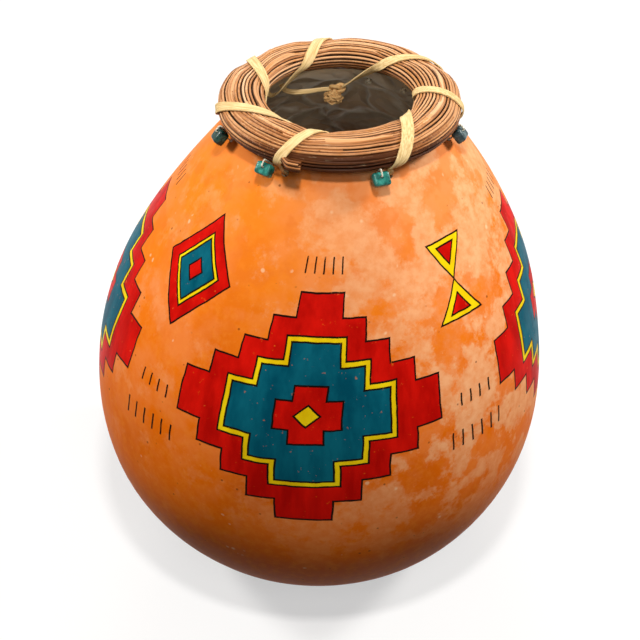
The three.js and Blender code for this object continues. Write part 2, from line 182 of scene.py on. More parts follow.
THREAD_DROP = 4.6 * MM
THREAD_RISE = math.radians(42)
THREAD_LEG_GAP = 1.1 * MM
THREAD_OVER_BEAD = 0.4 * MM
THREAD_FRONT_GAP = 0.35 * MM
THREAD_BEND = 0.8 * MM
THREAD_BEND_STEPS = 6
THREAD_STEP = 0.5 * MM
THREAD_SIDES = 10
THREAD_HOLE_RADIUS = 1.25 * MM
STOPPER_RADIUS = 1.5 * MM
STOPPER_SIZE = (0.4 * MM, 0.4 * MM, 0.4 * MM)
STOPPER_STEPS = 48
STOPPER_SIDES = 8

EDGE_WIDTH = SHELL_WALL / math.sin(SHOULDER_SLOPE)
HOLE_DEPTH = SHELL_WALL / math.sin(SHOULDER_SLOPE + HOLE_SLANT)
MOUTH_INNER_RADIUS = MOUTH_RADIUS - EDGE_WIDTH
COIL_RADIUS = MOUTH_RADIUS - EDGE_WIDTH / 2 + COIL_OVERHANG
COIL_HEIGHT = SEAT_CLEARANCE + math.hypot(
    COIL_HALF_WIDTH * math.sin(COIL_TILT), COIL_HALF_THICKNESS * math.cos(COIL_TILT)
)
MOUTH = Vector((NECK_LEAN, 0, MOUTH_HEIGHT))
UP = Vector((0, 0, 1))
DOWN = Vector((0, 0, -1))


def ripple(*spot):
    """Smooth noise about 0 that is the same each run."""
    return noise.noise(Vector(spot))


def smooth_step(value, low, high):
    share = min(max((value - low) / (high - low), 0), 1)
    return share * share * (3 - 2 * share)


def lean_at(height):
    return NECK_LEAN * smooth_step(height, LEAN_FROM, MOUTH_HEIGHT)


def bezier(points, share):
    """A point on a cubic curve, for points of any dimension."""
    back = 1 - share
    weights = (back**3, 3 * back * back * share, 3 * back * share * share, share**3)
    total = points[0] * weights[0]
    for point, weight in zip(points[1:], weights[1:]):
        total = total + point * weight
    return total


SHOULDER = (
    Vector((BELLY_RADIUS, BELLY_HEIGHT)),
    Vector((BELLY_RADIUS, BELLY_HEIGHT + BELLY_HANDLE)),
    Vector(
        (
            MOUTH_RADIUS + SHOULDER_HANDLE * math.cos(SHOULDER_SLOPE),
            MOUTH_HEIGHT - SHOULDER_HANDLE * math.sin(SHOULDER_SLOPE),
        )
    ),
    Vector((MOUTH_RADIUS, MOUTH_HEIGHT)),
)
FOOT_ANGLE = math.acos(FOOT_RADIUS / BELLY_RADIUS)
LOWER_DEPTH = BELLY_HEIGHT / math.sin(FOOT_ANGLE)
NEARBY = 0.001


def outer_wall(lower_steps, upper_steps):
    """Radius and height from the edge of the foot to the outer edge of the mouth."""
    wall = []
    for i in range(lower_steps):
        turn = FOOT_ANGLE * (1 - i / lower_steps)
        wall.append(Vector((BELLY_RADIUS * math.cos(turn), BELLY_HEIGHT - LOWER_DEPTH * math.sin(turn))))
    for i in range(upper_steps + 1):
        wall.append(bezier(SHOULDER, i / upper_steps))
    return wall


def inner_wall(lower_steps, upper_steps):
    """Radius and height from the inner edge of the mouth down to the edge of the floor."""
    wall = [Vector((MOUTH_INNER_RADIUS, MOUTH_HEIGHT))]
    for i in range(1, upper_steps):
        share = 1 - i / upper_steps
        ahead = bezier(SHOULDER, share + NEARBY) - bezier(SHOULDER, share - NEARBY)
        ahead.normalize()
        wall.append(bezier(SHOULDER, share) + Vector((-ahead.y, ahead.x)) * SHELL_WALL)
    depth = LOWER_DEPTH - SHELL_WALL
    floor_angle = math.asin((BELLY_HEIGHT - FLOOR_THICKNESS) / depth)
    for i in range(lower_steps + 1):
        turn = floor_angle * i / lower_steps
        radius = (BELLY_RADIUS - SHELL_WALL) * math.cos(turn)
        wall.append(Vector((radius, BELLY_HEIGHT - depth * math.sin(turn))))
    return wall


WALL_SAMPLES = outer_wall(lower_steps=80, upper_steps=160)


def wall_radius(height):
    for low, high in zip(WALL_SAMPLES, WALL_SAMPLES[1:]):
        if low.y <= height <= high.y:
            return low.x + (high.x - low.x) * (height - low.y) / (high.y - low.y)
    return MOUTH_RADIUS


def climb_table():
    """Heights on the outer wall with their distance along it from the belly, for painting."""
    table = [(WALL_SAMPLES[0].y, 0.0)]
    for low, high in zip(WALL_SAMPLES, WALL_SAMPLES[1:]):
        table.append((high.y, table[-1][1] + (high - low).length))
    belly = next(along for height, along in table if height >= BELLY_HEIGHT)
    return [(height, along - belly) for height, along in table]


CLIMB = climb_table()


def climb_at(height):
    for low, high in zip(CLIMB, CLIMB[1:]):
        if height <= high[0]:
            return low[1] + (high[1] - low[1]) * (height - low[0]) / (high[0] - low[0])
    return CLIMB[-1][1]


def around(angle, radial, height):
    """A place about the mouth's axis, with the angle from the front towards +X."""
    return MOUTH + Vector((radial * math.sin(angle), -radial * math.cos(angle), height))


def outward(angle):
    return Vector((math.sin(angle), -math.cos(angle), 0))


def hole_direction(angle):
    """The way the strip goes out through its hole, rising towards the coil."""
    return outward(angle) * math.cos(HOLE_SLANT) + UP * math.sin(HOLE_SLANT)


def bead_axes(angle):
    """The way a bead's thread leaves the wall, and the way up the bead's face."""
    rise = UP * math.sin(THREAD_RISE) + outward(angle) * math.cos(THREAD_RISE)
    slope = UP * math.cos(THREAD_RISE) - outward(angle) * math.sin(THREAD_RISE)
    return rise, slope


def on_wall(angle, drop):
    point = around(angle, wall_radius(MOUTH_HEIGHT - drop), -drop)
    point.x += lean_at(MOUTH_HEIGHT - drop) - NECK_LEAN
    return point


def around_coil(angle, x, y):
    """A place in the coil: x across its section and y up through it, both turned by its tilt."""
    radial = COIL_RADIUS + x * math.cos(COIL_TILT) + y * math.sin(COIL_TILT)
    height = COIL_HEIGHT - x * math.sin(COIL_TILT) + y * math.cos(COIL_TILT)
    return around(angle, radial, height)


def coil_direction(angle, x, y):
    direction = around_coil(angle, x, y) - around_coil(angle, 0, 0)
    return direction.normalized()


# Colours are written as they show on a screen, from 0 to 255
def shown(red, green, blue):
    def linear(value):
        value /= 255
        return value / 12.92 if value <= 0.04045 else ((value + 0.055) / 1.055) ** 2.4

    return (linear(red), linear(green), linear(blue), 1.0)


class Value:
    """A socket that takes part in sums."""

    def __init__(self, nodes, socket):
        self.nodes = nodes
        self.socket = socket

    def __add__(self, other):
        return self.nodes.reckon("ADD", self, other)

    __radd__ = __add__

    def __sub__(self, other):
        return self.nodes.reckon("SUBTRACT", self, other)

    def __rsub__(self, other):
        return self.nodes.reckon("SUBTRACT", other, self)

    def __mul__(self, other):
        return self.nodes.reckon("MULTIPLY", self, other)

    __rmul__ = __mul__

    def __abs__(self):
        return self.nodes.reckon("ABSOLUTE", self)


class Nodes:
    """The nodes of a finish or of the studio's light, made one at a time."""

    def __init__(self, tree):
        self.tree = tree

    def node(self, kind, settings=None, inputs=None, output=0):
        made = self.tree.nodes.new(kind)
        for key, value in (settings or {}).items():
            if key == "stops":
                ramp = made.color_ramp
                while len(ramp.elements) < len(value):
                    ramp.elements.new(1.0)
                for element, (place, colour) in zip(ramp.elements, value):
                    element.position = place
                    element.color = colour
            else:
                setattr(made, key, value)
        for key, value in (inputs or {}).items():
            self.feed(made.inputs[key], value)
        return Value(self, made.outputs[output])

    def feed(self, socket, value):
        if isinstance(value, Value):
            self.tree.links.new(value.socket, socket)
        else:
            socket.default_value = value

    def reckon(self, operation, first, second=0.0):
        return self.node("ShaderNodeMath", {"operation": operation}, {0: first, 1: second})

    def least(self, first, second):
        return self.reckon("MINIMUM", first, second)

    def most(self, first, second):
        return self.reckon("MAXIMUM", first, second)

    def background_rays(self):
        """1 for a ray that shows the background: straight to the camera, in gloss or through glass."""
        kinds = ("Is Camera Ray", "Is Glossy Ray", "Is Transmission Ray")
        seen, glossy, clear = [self.node("ShaderNodeLightPath", output=kind) for kind in kinds]
        return self.most(self.most(seen, glossy), clear)


class Finish(Nodes):
    """A material and the one shader that its nodes feed."""

    def __init__(self, name):
        self.material = bpy.data.materials.new(name)
        self.material.use_nodes = True
        super().__init__(self.material.node_tree)
        self.shader = self.tree.nodes["Principled BSDF"]

    def set(self, label, value):
        self.feed(self.shader.inputs[label], value)

    def place(self):
        return self.node("ShaderNodeTexCoord", output="Object")

    def kept(self, name):
        """A number kept on the mesh."""
        return self.node("ShaderNodeAttribute", {"attribute_name": name}, output="Fac")

    def part(self, vector, axis):
        """One of a vector's three numbers."""
        return self.node("ShaderNodeSeparateXYZ", {}, {0: vector}, axis)

    def joined(self, x, y, z):
        return self.node("ShaderNodeCombineXYZ", {}, {0: x, 1: y, 2: z})

    def grain(self, vector, scale, detail=2.0, roughness=0.5, kind="FBM", output="Fac"):
        return self.node(
            "ShaderNodeTexNoise",
            {"noise_type": kind},
            {"Vector": vector, "Scale": scale, "Detail": detail, "Roughness": roughness},
            output,
        )

    def cells(self, vector, scale, feature):
        return self.node(
            "ShaderNodeTexVoronoi", {"feature": feature}, {"Vector": vector, "Scale": scale}, "Distance"
        )

    def stretched(self, vector, scale):
        return self.node("ShaderNodeMapping", {}, {"Vector": vector, "Scale": scale})

    def blend(self, first, second, share):
        return self.node("ShaderNodeMix", {"data_type": "RGBA"}, {0: share, 6: first, 7: second}, 2)

    def ramp(self, share, stops):
        return self.node("ShaderNodeValToRGB", {"stops": stops}, {0: share})

    def within(self, value, low, high):
        """0 at low, 1 at high, and held there outside."""
        limits = {"Value": value, "From Min": low, "From Max": high}
        return self.node("ShaderNodeMapRange", {"clamp": True}, limits)

    def relief(self, height, distance, strength=1.0, under=None):
        inputs = {"Height": height, "Distance": distance, "Strength": strength}
        if under is not None:
            inputs["Normal"] = under
        return self.node("ShaderNodeBump", {}, inputs)


# Paint on the gourd, in millimetres round the belly and up the wall
PAINT_REPEATS = 4
PAINT_RADIUS = 94
PAINT_ROUND = math.tau * PAINT_RADIUS
PAINT_SPAN = 100.0
PAINT_PITCH = PAINT_ROUND / PAINT_REPEATS
PAINT_SHIFT = 6
SLOW_WOBBLE = 2.6
QUICK_WOBBLE = 0.7
LINE_HALF = 0.42
EDGE_SOFTNESS = 0.25
DIAMOND_HEIGHT = 50
DIAMOND_RUN = 11.4
DIAMOND_RISE = 10.2
DIAMOND_FRAME = 2.6
HEART_RUN = 7.0
HEART_RISE = 6.3
HEART_SPOT = 3.6
SMALL_FIGURE_HEIGHT = 96
LOZENGE_SLANT = (0.72, 0.69)
TIP_SLANT = (0.8, 0.6)
TIP_REACH = 17.0
TIP_INNER_REACH = 14.4
TIP_FRAME = 6.0
TICK_HALF = 0.45
TICK_SPACING = 5.2

# Whole turns and lengths that keep a repeat's count above zero
TURNS_ON = 100.5
LENGTH_ON = 500.0


def terrace(finish, x, y, steps, run, rise):
    """Distance, negative inside, from the edge of a diamond with stepped sides."""
    edge = None
    for i in range(steps):
        slab = finish.most(abs(x) - (steps - i) * run, abs(y) - (i + 1) * rise)
        edge = slab if edge is None else finish.least(edge, slab)
    return edge


def inside(finish, edge):
    return finish.within(edge, EDGE_SOFTNESS / 2, -EDGE_SOFTNESS / 2)


def painted_gourd():
    finish = Finish("painted_gourd_skin")
    place = finish.place()

    # Skin: deep orange darkening towards the bottom as painted shade, yellower on the shoulder as painted
    # light, worn to pale patches towards the right
    across = finish.part(place, 0)
    height = finish.part(place, 2)
    cloud = finish.grain(place, 20, 3.0, 0.55)
    fine = finish.grain(place, 240, 4.0, 0.65)
    broad = finish.grain(place, 17, 2.0, 0.5) - 0.5
    side = finish.within(across, -0.045, 0.06)
    stain = (
        (0.0, shown(146, 66, 14)),
        (0.36, shown(238, 112, 12)),
        (0.55, shown(242, 114, 10)),
        (0.92, shown(249, 136, 36)),
    )
    orange = finish.ramp(finish.within(height, 0.0, 0.225), stain)
    orange = finish.blend(orange, shown(214, 92, 8), finish.within(cloud, 0.52, 0.30) * 0.5)
    orange = finish.blend(orange, shown(250, 148, 54), finish.within(fine, 0.46, 0.74) * 0.4)
    mottle = finish.within(finish.grain(place, 44, 5.0, 0.58), 0.46, 0.60)
    mottle = mottle * finish.within(height, 0.06, 0.14)
    orange = finish.blend(orange, shown(249, 146, 82), mottle * 0.45)
    stipple = finish.within(finish.grain(place, 130, 6.0, 0.72) + broad * 0.25, 0.42, 0.60)
    haze = stipple * finish.within(across, -0.014, 0.014) * finish.within(height, 0.09, 0.17)
    # A paler patch just under the coil at the front is painted light.
    lit_patch_under_coil = finish.within(height, 0.188, 0.212) * finish.within(across, -0.024, 0.004)
    skin = finish.blend(orange, shown(245, 158, 104), finish.most(haze * 0.6, lit_patch_under_coil * 0.5))
    blotch = finish.within(finish.grain(place, 105, 3.0, 0.55), 0.50, 0.62)
    blotch = blotch * finish.within(height, 0.10, 0.17)
    skin = finish.blend(skin, shown(236, 120, 40), blotch * 0.42)
    lace = finish.grain(place, 66, 8.0, 0.66) + broad * 0.34
    above = finish.within(height, 0.05, 0.12)
    worn = finish.within(lace + side * 0.10, 0.545, 0.625) * above * (0.25 + side * 0.75)
    pale = finish.blend(shown(243, 160, 102), shown(252, 186, 134), finish.within(fine, 0.36, 0.62))
    skin = finish.blend(skin, pale, worn * 0.85)
    speck_field = finish.cells(place, 210.0, "F1")
    speck_choice = finish.grain(place, 120, 1.0)
    specks = finish.within(speck_field, 0.15, 0.07) * finish.within(speck_choice, 0.58, 0.64)
    skin = finish.blend(skin, shown(112, 48, 12), specks * 0.7)
    chips = finish.within(speck_field, 0.24, 0.14) * finish.within(speck_choice, 0.35, 0.31)
    skin = finish.blend(skin, shown(255, 214, 170), chips * 0.55)

    # Where the brush went, with a hand's wobble
    wander = finish.grain(place, 34, 1.0, 0.5, output="Color")
    tremor = finish.grain(place, 190, 1.0, 0.5, output="Color")
    lay = finish.node("ShaderNodeUVMap", {"uv_map": "paint"})

    def axis(number, size):
        slow = finish.node("ShaderNodeSeparateColor", {}, {0: wander}, number) - 0.5
        quick = finish.node("ShaderNodeSeparateColor", {}, {0: tremor}, number) - 0.5
        return finish.part(lay, number) * size + slow * SLOW_WOBBLE + quick * QUICK_WOBBLE

    climb = axis(1, PAINT_SPAN)
    turns = (axis(0, PAINT_ROUND) + PAINT_SHIFT) * (1 / PAINT_PITCH)

    def centred(offset):
        return (finish.reckon("FRACT", turns + (TURNS_ON + offset)) - 0.5) * PAINT_PITCH

    x = centred(0.0)
    y = climb - DIAMOND_HEIGHT
    between = centred(0.5)
    odd = finish.within(finish.reckon("PINGPONG", turns + TURNS_ON, 1.0), 0.45, 0.55)
    even = 1 - odd

    brush = finish.grain(finish.stretched(place, (1, 1, 0.25)), 120, 3.0, 0.6)
    stroke_share = finish.within(brush, 0.35, 0.65)
    red = finish.blend(shown(186, 12, 6), shown(224, 22, 12), stroke_share)
    teal = finish.blend(shown(2, 78, 98), shown(14, 102, 120), stroke_share)
    yellow = finish.blend(shown(238, 196, 8), shown(254, 222, 20), stroke_share)
    colour = skin
    ink = None
    painted = None

    def cover(edge, paint, only=None):
        nonlocal colour, ink, painted
        fill = inside(finish, edge)
        line = inside(finish, abs(edge) - LINE_HALF)
        if only is not None:
            fill = fill * only
            line = line * only
        colour = finish.blend(colour, paint, fill)
        painted = fill if painted is None else finish.most(painted, fill)
        ink = line if ink is None else finish.most(ink, line)

    # Large stepped diamonds round the belly
    cover(terrace(finish, x, y, 5, DIAMOND_RUN, DIAMOND_RISE), red)
    cover(terrace(finish, x, y, 3, DIAMOND_RUN, DIAMOND_RISE) - DIAMOND_FRAME, yellow)
    cover(terrace(finish, x, y, 3, DIAMOND_RUN, DIAMOND_RISE), teal)
    cover(terrace(finish, x, y, 2, HEART_RUN, HEART_RISE), red)
    cover((abs(x) * 0.66 + abs(y) * 0.75) - HEART_SPOT, yellow)

    # Small figures between them on the shoulder: a framed lozenge, then two triangles tip to tip
    rise = abs(climb - SMALL_FIGURE_HEIGHT)
    lozenge = abs(between) * LOZENGE_SLANT[0] + rise * LOZENGE_SLANT[1]
    for reach, paint in ((17.0, red), (11.5, yellow), (9.6, teal), (3.6, red)):
        cover(lozenge - reach, paint, even)
    tips = abs(between) * TIP_SLANT[0]
    cover(finish.most(tips - rise * TIP_SLANT[1], rise - TIP_REACH), yellow, odd)
    cover(finish.most(tips - (rise - TIP_FRAME) * TIP_SLANT[1], rise - TIP_INNER_REACH), red, odd)

    # Rows of ink ticks, by height, reach to each side and length
    def ticks(along, height, reach, length):
        near = finish.reckon("PINGPONG", along + LENGTH_ON, TICK_SPACING / 2) - TICK_HALF
        ends = finish.most(near, abs(climb - height) - length / 2)
        return inside(finish, finish.most(ends, abs(along) - reach))

    for row in (ticks(between, 26, 15.6, 8.0), ticks(between, 44, 10.4, 6.0), ticks(x, 112, 13.0, 7.0)):
        ink = finish.most(ink, row)

    scuffs = finish.within(finish.grain(place, 420, 3.0, 0.65), 0.66, 0.74)
    colour = finish.blend(colour, finish.blend(colour, orange, scuffs * painted), 0.5)
    colour = finish.blend(colour, shown(22, 14, 10), ink * (1 - scuffs * 0.5))
    finish.set("Base Color", colour)
    finish.set("Roughness", 0.44 + (fine - 0.5) * 0.25 + worn * 0.08 - painted * 0.06)
    finish.set("Specular IOR Level", 0.014)
    pitted = finish.relief(finish.grain(place, 420, 4.0, 0.6), 0.0002, 0.25)
    finish.set("Normal", finish.relief(finish.most(painted, ink), 0.00012, 0.6, pitted))
    return finish.material


def inner_skin():
    """Pale gourd, brushed with brown lacquer as far down as a hand reached, its brown lighter towards the
    rim as painted light, unlacquered and whitened at the cut edge with a painted pool of light reaching
    further down on the left, and painted highlights along its creases.
    """
    finish = Finish("lacquered_inside")
    finish.set("Coat Roughness", 0.14)
    place = finish.place()
    across = finish.part(place, 0)
    height = finish.part(place, 2)
    cloud = finish.grain(place, 46, 5.0, 0.62)
    ragged = height + (cloud - 0.5) * 0.02
    brown = finish.blend(shown(104, 62, 30), shown(156, 114, 76), finish.within(cloud, 0.36, 0.66))
    # The brown lightens towards the rim as painted light.
    brown = finish.blend(brown, shown(190, 160, 126), finish.within(height, 0.185, 0.212))
    colour = finish.blend(shown(236, 214, 178), brown, finish.within(ragged, 0.118, 0.128))
    # Pale band at the cut edge: unlacquered gourd, with a painted pool of light that whitens it and takes
    # it further down on the left.
    unlacquered_lit_band = finish.within(ragged + finish.within(across, 0.015, -0.03) * 0.012, 0.2105, 0.2165)
    colour = finish.blend(colour, shown(252, 240, 218), unlacquered_lit_band)
    bent = finish.grain(place, 30, 2.0, 0.5, output="Color")
    swirl = finish.node("ShaderNodeMix", {"data_type": "VECTOR"}, {0: 0.035, 4: place, 5: bent}, 1)
    cells = finish.cells(swirl, 44.0, "DISTANCE_TO_EDGE")
    # Pale streaks along the creases of the lacquer are painted highlights.
    crease_highlight = finish.within(cells, 0.085, 0.0) * finish.within(cloud, 0.38, 0.54)
    colour = finish.blend(colour, shown(236, 234, 230), crease_highlight * 0.9)
    finish.set("Base Color", colour)
    finish.set("Roughness", 0.2 + cloud * 0.25)
    finish.set("Coat Weight", 1.0 - unlacquered_lit_band * 0.6)
    dents = finish.relief(finish.grain(place, 60, 2.0, 0.5), 0.006, 0.6)
    finish.set("Normal", finish.relief(finish.within(cells, 0.25, 0.0), 0.003, 0.9, dents))
    return finish.material


def dry_reed():
    """Split reed with fibres along it, brown to straw by its tone, with painted shade where two reeds
    meet.
    """
    finish = Finish("dry_reed")
    tone = finish.kept("tone")
    along = finish.kept("along")
    across = finish.kept("across")
    fibre = finish.grain(finish.joined(along * 60.0, across * 2.4, tone * 40.0), 1.0, 4.0, 0.65)
    streak = finish.joined(along * 14.0, across * 0.9, tone * 90.0)
    patch = finish.grain(streak, 1.0, 3.0, 0.55)
    ages = (
        (0.0, shown(78, 40, 16)),
        (0.22, shown(158, 98, 54)),
        (0.5, shown(206, 147, 98)),
        (0.78, shown(227, 169, 118)),
        (1.0, shown(247, 205, 163)),
    )
    colour = finish.ramp(tone * 0.66 + patch * 0.5 - 0.08, ages)
    golden = finish.grain(finish.stretched(streak, (0.4, 0.0, 1.7)), 1.0, 1.0)
    golden = finish.within(golden, 0.52, 0.64) * finish.within(tone, 0.0, 0.4)
    colour = finish.blend(colour, shown(196, 126, 52), golden * 0.5)
    colour = finish.blend(colour, shown(104, 56, 24), finish.within(fibre, 0.56, 0.72) * 0.5)
    colour = finish.blend(colour, shown(254, 222, 176), finish.within(fibre, 0.40, 0.28) * 0.4)
    # Painted shade: darker towards each reed's sides, where it meets the next.
    flank_shade = abs(finish.reckon("COSINE", across * math.pi))
    colour = finish.blend(colour, shown(58, 26, 8), finish.within(flank_shade, 0.52, 0.92) * 0.88)
    finish.set("Base Color", colour)
    finish.set("Roughness", 0.28 + fibre * 0.3)
    finish.set("Specular IOR Level", 0.1)
    finish.set("Normal", finish.relief(fibre, 0.0003, 0.5))
    return finish.material


def shaded_core_reed():
    finish = Finish("shaded_core_reed")
    cloud = finish.grain(finish.place(), 300, 3.0, 0.6)
    # Dark brown as painted shade: the core only shows in the gaps between the outer reeds.
    colour = finish.blend(shown(56, 30, 14), shown(96, 58, 32), finish.within(cloud, 0.4, 0.7))
    finish.set("Base Color", colour)
    finish.set("Roughness", 0.8)
    finish.set("Normal", finish.relief(cloud, 0.0006, 0.6))
    return finish.material


def fibre_strip(name, dull, pale):
    finish = Finish(name)
    along = finish.kept("along")
    across = finish.kept("across")
    tone = finish.kept("tone")
    fibre = finish.grain(finish.joined(along * 45.0, across * 9.0, tone * 30.0), 1.0, 3.0, 0.6)
    stain = finish.grain(finish.joined(along * 90.0, across * 1.2, tone * 50.0), 1.0, 2.0, 0.5)
    colour = finish.blend(dull, pale, finish.within(fibre, 0.34, 0.58))
    colour = finish.blend(colour, shown(206, 166, 98), finish.within(stain, 0.55, 0.8) * 0.45)
    finish.set("Base Color", colour)
    finish.set("Roughness", 0.5 + fibre * 0.2)
    finish.set("Specular IOR Level", 0.2)
    finish.set("Normal", finish.relief(fibre, 0.00025, 0.7))
    return finish.material


def polished_stone(name, dark, middle, light):
    finish = Finish(name)
    finish.set("Coat Roughness", 0.08)
    place = finish.place()
    cloud = finish.grain(place, 420, 4.0, 0.6)
    veins = finish.grain(place, 300, 3.0, 0.6, "RIDGED_MULTIFRACTAL")
    colour = finish.blend(middle, light, finish.within(cloud, 0.48, 0.72))
    colour = finish.blend(colour, dark, finish.within(cloud, 0.46, 0.30))
    colour = finish.blend(colour, dark, finish.within(veins, 0.9, 1.25) * 0.5)
    finish.set("Base Color", colour)
    finish.set("Roughness", 0.16 + cloud * 0.22)
    finish.set("Coat Weight", 0.2 + (cloud - 0.5) * 0.3)
    finish.set("Specular IOR Level", 0.25)
    finish.set("Normal", finish.relief(cloud, 0.0004, 0.35))
    return finish.material


def waxed_thread():
    finish = Finish("waxed_thread")
    ply = finish.reckon("SINE", finish.kept("along") * 5200.0 + finish.kept("across") * math.tau)
    colour = finish.blend(shown(206, 196, 168), shown(246, 240, 222), finish.within(ply, -0.8, 0.4))
    finish.set("Base Color", colour)
    finish.set("Roughness", 0.6 + ply * 0.06)
    finish.set("Normal", finish.relief(ply, 0.0001, 0.6))
    return finish.material


def deselect():
    bpy.ops.object.select_all(action="DESELECT")


def pick(piece):
    """Has the operators act on this piece alone."""
    deselect()
    piece.select_set(True)
    bpy.context.view_layer.objects.active = piece


def keep(piece, body, node):
    """Has a piece move with a body and stand for a node of the solids."""
    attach(piece, body)
    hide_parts(node)


class Skein:
    """Strands in one mesh. Each point keeps its strand's tone and its place along and across it."""

    def __init__(self):
        self.points = []
        self.faces = []
        self.kept = {"tone": [], "along": [], "across": []}

    def strand(self, rings, tones):
        start = len(self.points)
        count = len(rings[0])
        along = 0.0
        middle = None
        for ring, tone in zip(rings, tones):
            centre = sum(ring, Vector()) / count
            if middle is not None:
                along += (centre - middle).length
            middle = centre
            for j, point in enumerate(ring):
                self.points.append(point)
                self.kept["tone"].append(tone)
                self.kept["along"].append(along)
                self.kept["across"].append(abs(2 * j / count - 1))
        for i in range(len(rings) - 1):
            for j in range(count):
                a = start + i * count + j
                b = start + i * count + (j + 1) % count
                self.faces.append((a, b, b + count, a + count))
        last = start + (len(rings) - 1) * count
        self.faces.append(tuple(start + j for j in reversed(range(count))))
        self.faces.append(tuple(last + j for j in range(count)))

    def finished(self, name, material, sharp):
        mesh = bpy.data.meshes.new(name)
        mesh.from_pydata(self.points, [], self.faces)
        for key, values in self.kept.items():
            mesh.attributes.new(key, "FLOAT", "POINT").data.foreach_set("value", values)
        mesh.materials.append(material)
        piece = bpy.data.objects.new(name, mesh)
        bpy.context.scene.collection.objects.link(piece)
        pick(piece)
        bpy.ops.object.mode_set(mode="EDIT")
        bpy.ops.mesh.select_all(action="SELECT")
        bpy.ops.mesh.normals_make_consistent(inside=False)
        bpy.ops.object.mode_set(mode="OBJECT")
        bpy.ops.object.shade_smooth_by_angle(angle=math.radians(sharp))
        return piece


def oval_ring(centre, side, up, half_width, half_height, sides):
    ring = []
    for j in range(sides):
        turn = math.tau * j / sides
        ring.append(centre + side * (half_width * math.cos(turn)) + up * (half_height * math.sin(turn)))
    return ring


def trefoil(centre, axes, size, steps):
    """Points of a closed overhand knot on three axes, with its size on each."""
    path = []
    for i in range(steps + 1):
        turn = math.tau * i / steps
        x = math.sin(turn) + 2 * math.sin(2 * turn)
        y = math.cos(turn) - 2 * math.cos(2 * turn)
        z = -math.sin(3 * turn)
        path.append(centre + axes[0] * (x * size[0]) + axes[1] * (y * size[1]) + axes[2] * (z * size[2]))
    return path


def round_tube(path, radius, sides):
    """Rings of a round tube along points, turned as little as the path allows."""
    rings = []
    side = None
    for i, point in enumerate(path):
        ahead = (path[min(i + 1, len(path) - 1)] - path[max(i - 1, 0)]).normalized()
        if side is None:
            side = ahead.orthogonal().normalized()
        side = (side - ahead * side.dot(ahead)).normalized()
        size = radius[i] if isinstance(radius, list) else radius
        rings.append(oval_ring(point, side, ahead.cross(side), size, size, sides))
    return rings


# Gourd
def add_drill(centre, direction, radius, length):
    turn = direction.to_track_quat("Z", "Y").to_euler()
    bpy.ops.mesh.primitive_cylinder_add(
        vertices=DRILL_SIDES, radius=radius, depth=length, location=centre, rotation=turn
    )
    return bpy.context.object


def drill_through(piece, drills):
    deselect()
    for drill in drills:
        drill.select_set(True)
    bpy.context.view_layer.objects.active = drills[0]
    if len(drills) > 1:
        bpy.ops.object.join()
    cutter = bpy.context.view_layer.objects.active
    pick(piece)
    cut = piece.modifiers.new("holes", "BOOLEAN")
    cut.operation = "DIFFERENCE"
    cut.solver = "EXACT"
    cut.object = cutter
    bpy.ops.object.modifier_apply(modifier=cut.name)
    bpy.data.objects.remove(cutter)


